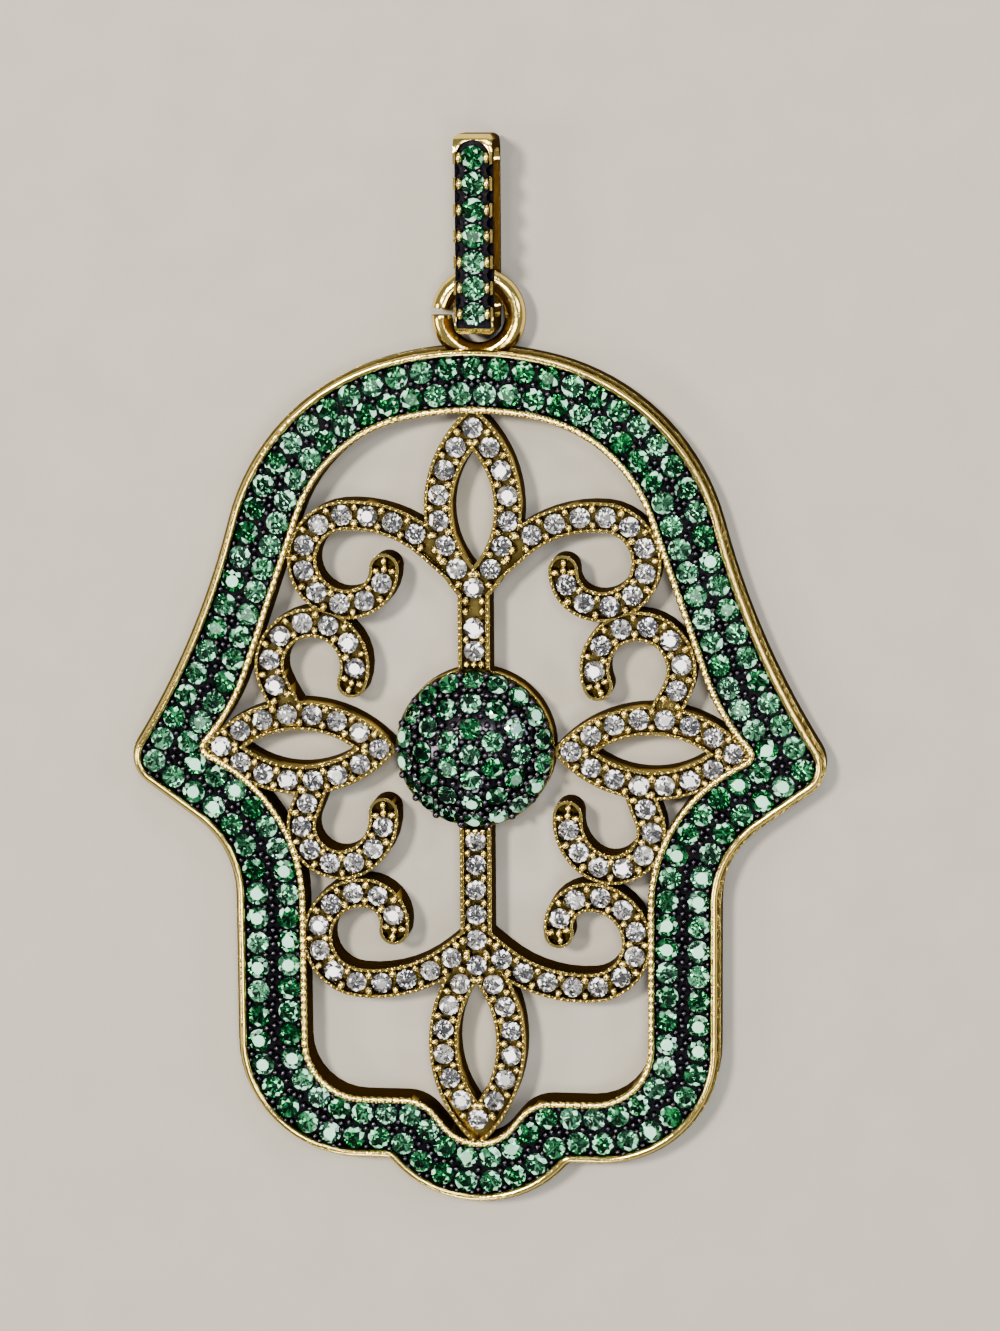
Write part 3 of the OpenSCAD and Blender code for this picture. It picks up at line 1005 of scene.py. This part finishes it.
@dataclass
class WhiteRows:
    """White stones along the scrolls, leaves and stems, with pairs of gold beads between them."""

    drawing: Drawing
    size: float = 1.28
    girdle_h: float = 2.16
    pitch: float = 1.6
    bead_r: float = 0.23
    bead_h: float = 2.22
    bead_off: float = 0.52  # From the middle line of the strip
    bead_deep: float = 0.62
    grain_r: float = 0.12
    grain_pitch: float = 0.4
    grain_inset: float = 0.11
    grain: Bead = Bead(6, 0.9, (40, 85))
    cut: Brilliant = Brilliant(pavilion=0.42)
    lean: float = 3.0  # Degrees that a stone may lean in its seat
    bead_sizes: Point = (0.9, 1.1)  # Smallest and largest, as shares
    bead_stretch: float = 1.25
    line_step: float = 0.15
    leaf_give: float = 0.1
    strip_give: float = 0.02
    cup_gap: float = 0.1
    last_stone: float = 0.95  # From the end of a scroll
    starts: tuple[float, ...] = (3.27, 2.25, 1.75, 1.65)  # Where each scroll's row begins
    counts: tuple[int, ...] = (11, 7, 7, 12)  # Stones of each scroll
    # Half the length and the width of each leaf's row
    leaf_lines: tuple[Point, ...] = ((5.0, 2.2), (5.05, 2.13), (5.05, 2.13), (5.0, 2.2))
    stem_stones: tuple[float, ...] = (7.6, 6.15, -5.9, -7.45, -9.05, -10.65, -12.25)
    stem_tips: tuple[float, ...] = (5.3, -5.25)
    stem_fork: tuple[float, ...] = (9.3, 8.65)
    fork_beads: tuple[Point, ...] = (
        (0.86, -12.3), (1.22, -12.6), (0.62, -13.1), (2.42, 12.5), (2.12, 11.98), (11.85, 3.3),
    )
    tip_beads: tuple[float, ...] = (0.0, 0.46)  # Beyond the end of a scroll's middle line

    def build(self) -> None:
        """Makes the stones and the beads."""
        stones, beads = self._scrolls()
        more_stones, more_beads = self._leaves()
        stem_stones, stem_beads = self._stems()
        self._cast(stones + more_stones + stem_stones, beads + more_beads + stem_beads)

    def _cast(self, stones: list[Place], beads: list[Place]) -> None:
        """Makes the stones, the beads and the milling.

        Args:
            stones: The stones' places.
            beads: The beads' places.
        """
        chance = random.Random("white")
        gems, prongs, grains = Mould(), Mould(), Mould()
        points, faces = self.cut.mesh(self.size)
        for p in stones:
            spin = Place(0, 0, 0, chance.uniform(-self.lean, self.lean), chance.uniform(0, 360))
            gems.put(p.carry(spin.carry(points)), faces, chance.random())
        for p in beads:
            radius = self.bead_r * chance.uniform(*self.bead_sizes)
            ball, sides = Bead().mesh(radius, self.bead_stretch, self.bead_deep)
            prongs.put(p.carry(ball), sides)
        ball, sides = self.grain.mesh(self.grain_r)
        for p in self._grains():
            grains.put(p.carry(ball), sides)
        gems.cast("white_stones", Finish.WHITE, smooth=False, slot="white_stone")
        prongs.cast("gold_prongs", Finish.GOLD, smooth=True, slot="gold")
        grains.cast("scroll_milling", Finish.GOLD, smooth=True, slot="gold")

    def _grains(self) -> list[Place]:
        """Lays fine grains along the edges of the pierced work.

        Returns:
            The grains' places, where no other strip or leaf covers them.
        """
        d, inset = self.drawing, self.grain_inset
        half = d.scroll_w / 2
        flip = np.array([-1.0, 1.0])
        lines = [loop_points(track, self.line_step) for track in d.scrolls]
        lines += [line * flip for line in lines]
        lines += [np.array([[0.0, y] for y in np.arange(low, high, self.line_step)]) for low, high in d.stems]
        give = self.leaf_give
        ovals = [leaf.sides(leaf.half_len - give, leaf.half_wide - give) for leaf in d.leaves]
        bodies = [np.vstack([loop_points(side) for side in oval]) for oval in ovals]
        # Each place comes with the number of its own strip and of its own leaf
        found: list[tuple[np.ndarray, int, int]] = []
        for n, track in enumerate(d.scrolls):
            for off in (inset - half, half - inset):
                for k in range(int(track.length(off) / self.grain_pitch)):
                    p, _ = track.at(k * self.grain_pitch, off)
                    found += [(p, n, NONE), (p * flip, n + len(d.scrolls), NONE)]
        for n, leaf in enumerate(d.leaves):
            outer = leaf.sides(leaf.half_len - 2 * inset, leaf.half_wide - inset)
            hole = leaf.sides(leaf.hole_half_len + 2 * inset, leaf.hole_half_wide + inset)
            for side in outer + hole:
                found += [(p, NONE, n) for p in loop_points(side, self.grain_pitch)]
        for n, (low, high) in enumerate(d.stems, 2 * len(d.scrolls)):
            edge = d.stem_w / 2 - inset
            for y in np.arange(low, high, self.grain_pitch):
                found += [(np.array([s * edge, y]), n, NONE) for s in (-1, 1)]
        kept = [p for p, line, leaf in found if self._clear(p, without(lines, line), without(bodies, leaf))]
        return [Place(float(p[0]), float(p[1]), d.scroll_h) for p in kept]

    def _clear(self, p: np.ndarray, lines: list[np.ndarray], bodies: list[np.ndarray]) -> bool:
        """Tells whether nothing covers a place.

        Args:
            p: The place.
            lines: Middle lines of the strips that could cover it.
            bodies: Outlines of the leaves that could cover it.

        Returns:
            True where no strip, no leaf and not the cup covers it.
        """
        reach = self.drawing.scroll_w / 2 - self.strip_give
        if math.hypot(*p) < self.drawing.cup_d / 2 + self.cup_gap:
            return False
        if any(np.hypot(*(line - p).T).min() < reach for line in lines):
            return False
        return not any(inside(p[None, :], body)[0] for body in bodies)

    def _pair(self, track: Track, distance: float, mirror: float = 1.0) -> list[Place]:
        """Sets two beads across a line.

        Args:
            track: The line.
            distance: How far along it.
            mirror: 1 for the right half, -1 for the left one.

        Returns:
            The beads' places.
        """
        p, h = track.at(distance)
        across = self.bead_off * direction(h + 90)
        turn = h if mirror > 0 else 180 - h
        both = (p - across, p + across)
        return [Place(mirror * float(q[0]), float(q[1]), self.bead_h, 0, turn) for q in both]

    def _scrolls(self) -> tuple[list[Place], list[Place]]:
        """Lays out the scrolls' rows.

        Returns:
            Places of the stones and of the beads.
        """
        stones: list[Place] = []
        beads: list[Place] = []
        for track, start, count in zip(self.drawing.scrolls, self.starts, self.counts):
            last = track.length() - self.last_stone
            pitch = (last - start) / (count - 1)
            for flip in (1.0, -1.0):
                beads += self._pair(track, start - pitch / 2, flip)
                for k in range(count):
                    p, _ = track.at(start + k * pitch)
                    stones.append(Place(flip * float(p[0]), float(p[1]), self.girdle_h))
                    beads += self._pair(track, start + (k + 0.5) * pitch, flip)
                end, h = track.at(track.length())
                tips = [end + out * direction(h) for out in self.tip_beads]
                beads += [Place(flip * float(p[0]), float(p[1]), self.bead_h) for p in tips]
        return stones, beads

    def _leaves(self) -> tuple[list[Place], list[Place]]:
        """Lays out the rows round the leaves.

        Returns:
            Places of the stones and of the beads.
        """
        stones: list[Place] = []
        beads: list[Place] = []
        for leaf, (half_len, half_wide) in zip(self.drawing.leaves, self.leaf_lines):
            for track in leaf.sides(half_len, half_wide):
                whole = track.length()
                count = round(whole / self.pitch)
                for k in range(count):
                    p, _ = track.at(whole * k / count)
                    stones.append(Place(float(p[0]), float(p[1]), self.girdle_h))
                    beads += self._pair(track, whole * (k + 0.5) / count)
        return stones, beads

    def _stems(self) -> tuple[list[Place], list[Place]]:
        """Lays out the stems' rows and the beads at the forks.

        Returns:
            Places of the stones and of the beads.
        """
        stones = [Place(0, y, self.girdle_h) for y in self.stem_stones]
        beads: list[Place] = []
        for a, b in zip(self.stem_stones, self.stem_stones[1:]):
            if a * b > 0:
                beads += [Place(s * self.bead_off, (a + b) / 2, self.bead_h) for s in (-1, 1)]
        beads += [Place(s * self.bead_off, y, self.bead_h) for y in self.stem_fork for s in (-1, 1)]
        beads += [Place(s * self.bead_r, y, self.bead_h) for y in self.stem_tips for s in (-2, 0, 2)]
        beads += [Place(s * x, y, self.bead_h) for x, y in self.fork_beads for s in (-1, 1)]
        return stones, beads


@dataclass
class Rims:
    """Rounded wires along both rims of the channel. The inner one is finely milled."""

    drawing: Drawing
    step: float = 0.12
    ripple: float = 0.035  # Real milling is finer, and is drawn as coarse as it needs to show
    ripple_pitch: float = 0.48
    half_w: float = 0.2
    rise: float = 0.12
    sink: float = 0.06
    facet_turn: int = 20  # Degrees between the corners of the half round

    def _profile(self, ripple: float, along: float) -> list[Point]:
        """Gives the half round of a wire.

        Args:
            ripple: How much its milling swells and thins it.
            along: The distance along it.

        Returns:
            Its corners, outwards and up.
        """
        wave = ripple * math.sin(2 * math.pi * along / self.ripple_pitch)
        base = self.drawing.rim_h - self.sink
        turns = [math.radians(a) for a in range(0, 181, self.facet_turn)]
        half, high = self.half_w + wave, self.rise + self.sink + wave
        return [(half * math.cos(a), base + high * math.sin(a)) for a in turns]

    def build(self) -> None:
        """Makes the two wires."""
        d = self.drawing
        half = d.rim_w / 2
        wires = (
            ("outer_rim", d.edge, half, 1, 0.0),
            ("inner_rim", d.inner, -d.inner_gap - half, -1, self.ripple),
        )
        for name, track, off, side, ripple in wires:
            points, normals = loop_of(track, off, self.step)
            mould = Mould()
            mould.put(*sweep(points, side * normals, partial(self._profile, ripple), self.step))
            mould.cast(name, Finish.GOLD, smooth=True, slot="gold")


@dataclass
class Casting:
    """The frame, the boss and the bail as the solids give them, with eased edges and blackened beds."""

    drawing: Drawing
    nodes: dict[str, bpy.types.Object]
    ease: float = 0.06
    ease_rounds: int = 2
    ease_from: float = 35.0  # Degrees of the flattest edge that is eased
    weld: float = 0.0005
    give: float = 0.02
    outline_step: float = 0.2
    channel_low: float = 1.3  # Under the lowest of the channel's seats
    seat_deep: float = 0.72
    bail_side: float = 0.01
    bail_top: float = 0.4

    def build(self) -> None:
        """Gives the solids their finishes."""
        for name, finish in (("frame", Finish.GOLD), ("bail", Finish.GOLD), ("centre_dome", Finish.BLACK)):
            node = self.nodes[name]
            node.data.materials.clear()
            node.data.materials.append(finish.material())
            node.data.materials.append(Finish.BLACK.material())
            self._ease(node)
            LOG.info("%s: %d faces", name, len(node.data.polygons))
        self._blacken(self.nodes["frame"], self._in_channel)
        self._blacken(self.nodes["bail"], self._in_bail_bed)

    def _ease(self, node: bpy.types.Object) -> None:
        """Rounds the sharp edges of a solid.

        Args:
            node: The solid.
        """
        weld = node.modifiers.new("weld", "WELD")
        weld.merge_threshold = self.weld * MM
        bevel = node.modifiers.new("ease", "BEVEL")
        bevel.width = self.ease * MM
        bevel.segments = self.ease_rounds
        bevel.limit_method = "ANGLE"
        bevel.angle_limit = math.radians(self.ease_from)
        bevel.harden_normals = True

    @staticmethod
    def _blacken(node: bpy.types.Object, test: Callable[[np.ndarray], np.ndarray]) -> None:
        """Gives the faces of a bed the black plating.

        Args:
            node: The solid.
            test: Tells from the faces' middles which ones are of the bed.
        """
        mesh = node.data
        centres = np.zeros(len(mesh.polygons) * 3)
        mesh.polygons.foreach_get("center", centres)
        black = test(centres.reshape(-1, 3) / MM)
        mesh.polygons.foreach_set("material_index", black.astype(int))
        LOG.info("%s: %d of %d faces black", node.name, black.sum(), len(black))

    def _in_channel(self, centres: np.ndarray) -> np.ndarray:
        """Tells which faces are of the channel's bed and its seats.

        Args:
            centres: The faces' middles, a row each.

        Returns:
            True or false for each face.
        """
        d = self.drawing
        outer, _ = loop_of(d.edge, self.give, self.outline_step)
        inner, _ = loop_of(d.inner, -d.inner_gap - self.give, self.outline_step)
        flat, z = centres[:, :2], centres[:, 2]
        return (z > self.channel_low) & (z < d.bed_h + self.give) & inside(flat, outer) & ~inside(flat, inner)

    def _in_bail_bed(self, centres: np.ndarray) -> np.ndarray:
        """Tells which faces are of the bail's bed and its seats.

        Args:
            centres: The faces' middles, a row each.

        Returns:
            True or false for each face.
        """
        d = self.drawing
        x, y, z = np.abs(centres[:, 0] - d.bail_x), centres[:, 1], centres[:, 2]
        low = d.bail_low + d.bail_lip - self.bail_side
        high = d.bail_low + d.bail_len - self.bail_top
        inner = (x < d.bail_w / 2 - self.bail_side) & (y > low) & (y < high)
        return inner & (z > d.bail_bed_h - self.seat_deep) & (z < d.bail_bed_h + self.give)


@dataclass
class BailRow:
    """The bail's green stones with a gold prong at either side of each."""

    drawing: Drawing
    girdle: float = 0.08
    prong_off: float = 0.84
    prong_r: float = 0.19
    prong_long: float = 1.9
    prong_sink: float = 0.06
    bead_off: float = 0.42
    bead_r: float = 0.16

    def build(self) -> None:
        """Makes the stones and the prongs."""
        d = self.drawing
        first = d.bail_low + d.bail_foot
        pitch = (d.bail_low + d.bail_len - d.bail_tip - first) / (d.bail_count - 1)
        girdle_h = d.bail_bed_h + self.girdle
        places = [Place(d.bail_x, first + k * pitch, girdle_h) for k in range(d.bail_count)]
        StoneField("bail_green_stones", "bail_stones", places, d.bail_stone_d).build()
        gold, black = Mould(), Mould()
        for p in places:
            for side in (-1, 1):
                points, faces = Bead().mesh(self.prong_r, self.prong_long)
                place = Place(p.x + side * self.prong_off, p.y, d.bail_depth - self.prong_sink)
                gold.put(place.carry(points), faces)
        for a, b in zip(places, places[1:]):
            for side in (-1, 1):
                points, faces = Bead().mesh(self.bead_r)
                place = Place(a.x + side * self.bead_off, (a.y + b.y) / 2, girdle_h)
                black.put(place.carry(points), faces)
        gold.cast("bail_prongs", Finish.GOLD, smooth=True, slot="gold")
        black.cast("bail_beads", Finish.BLACK, smooth=True, slot="black_rhodium")


@dataclass(frozen=True)
class Softbox:
    """A square light that faces the pendant. Its place and side are in millimetres, its power in watts."""

    name: str
    at: tuple[float, float, float]
    side: float
    power: float
    colour: str = "#FFFFFF"

    def build(self) -> None:
        """Makes the light."""
        data = bpy.data.lights.new(self.name, "AREA")
        data.size = self.side * MM
        data.energy = self.power
        data.color = linear(self.colour)[:3]
        lamp = bpy.data.objects.new(self.name, data)
        lamp.location = Vector(self.at) * MM
        lamp.rotation_euler = (-Vector(self.at)).to_track_quat("-Z", "Y").to_euler()
        bpy.context.scene.collection.objects.link(lamp)


@dataclass
class Studio:
    """Pale floor, soft lights and the camera that looks as the photograph does."""

    camera_at: tuple[float, float, float] = (32.415, 43.593, 243.739)
    aim: tuple[float, float, float] = (1.603, 5.245, 2.0)
    roll: float = -0.407
    lens: float = 107.117
    sensor: float = 36.0
    clip_m: Point = (0.01, 5.0)
    floor_half: float = 600.0
    floor_drop: float = 0.02
    sky: str = "#C9CCD2"
    sky_strength: float = 0.4
    lights: tuple[Softbox, ...] = (
        Softbox("key softbox", (-190, 150, 520), 80, 6.4, "#FFF4E2"),
        Softbox("left softbox", (-430, -60, 330), 130, 1.3, "#FFF8EE"),
        Softbox("right softbox", (400, 120, 330), 120, 1.0, "#EEF4FF"),
        Softbox("top softbox", (60, 440, 320), 120, 1.0),
        Softbox("foot softbox", (-90, -430, 360), 120, 1.0, "#F4F8FF"),
        Softbox("camera softbox", (120, 200, 600), 110, 2.0),
        Softbox("overhead softbox", (150, -120, 560), 150, 1.6, "#FFF8EA"),
    )

    def build(self) -> None:
        """Makes the floor, the lights, the world and the camera."""
        self._floor()
        for light in self.lights:
            light.build()
        self._world()
        self._camera()

    def _floor(self) -> None:
        """Makes the floor."""
        half = self.floor_half * MM
        mesh = bpy.data.meshes.new("studio_floor")
        corners = [(-half, -half, 0), (half, -half, 0), (half, half, 0), (-half, half, 0)]
        mesh.from_pydata(corners, [], [(0, 1, 2, 3)])
        mesh.materials.append(Finish.FLOOR.material())
        floor = bpy.data.objects.new("studio_floor", mesh)
        floor.location.z = -self.floor_drop * MM
        bpy.context.scene.collection.objects.link(floor)
        floor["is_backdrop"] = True

    def _world(self) -> None:
        """Makes the even light of the room."""
        world = bpy.data.worlds.new("studio room")
        world.use_nodes = True
        background = world.node_tree.nodes["Background"]
        background.inputs["Color"].default_value = linear(self.sky)
        background.inputs["Strength"].default_value = self.sky_strength
        bpy.context.scene.world = world

    def _camera(self) -> None:
        """Makes the camera, placed as the photograph's was."""
        data = bpy.data.cameras.new("camera")
        data.lens = self.lens
        data.sensor_width = self.sensor
        data.clip_start, data.clip_end = self.clip_m
        data.dof.use_dof = False
        camera = bpy.data.objects.new("camera", data)
        at, aim = Vector(self.camera_at), Vector(self.aim)
        forward = (aim - at).normalized()
        right = forward.cross(Vector((0, 1, 0))).normalized()
        up = right.cross(forward)
        pose = Matrix((right, up, -forward)).transposed() @ Matrix.Rotation(math.radians(self.roll), 3, "Z")
        camera.matrix_world = Matrix.Translation(at * MM) @ pose.to_4x4()
        bpy.context.scene.collection.objects.link(camera)
        bpy.context.scene.camera = camera


def box_lines(label: str) -> list[float]:
    """Gives the shown object's box.

    Args:
        label: What the log calls it.

    Returns:
        Its lowest corner and its highest one, in metres.
    """
    low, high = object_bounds()
    LOG.info("%s: %s to %s", label, tuple(round(v, 5) for v in low), tuple(round(v, 5) for v in high))
    return [round(v, 6) for v in (*low, *high)]


def main() -> None:
    """Builds the pieces in order."""
    logging.basicConfig(level=logging.INFO, format="%(name)s %(message)s")
    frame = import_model()
    sizes = {"cad_box_m": box_lines("solids")}
    drawing = Drawing()
    Casting(drawing, frame["nodes"]).build()
    FrameRows(drawing).build()
    Dome(drawing).build()
    WhiteRows(drawing).build()
    BailRow(drawing).build()
    Rims(drawing).build()
    Studio().build()
    sizes["shown_box_m"] = box_lines("dressed")


if __name__ == "__main__":
    main()
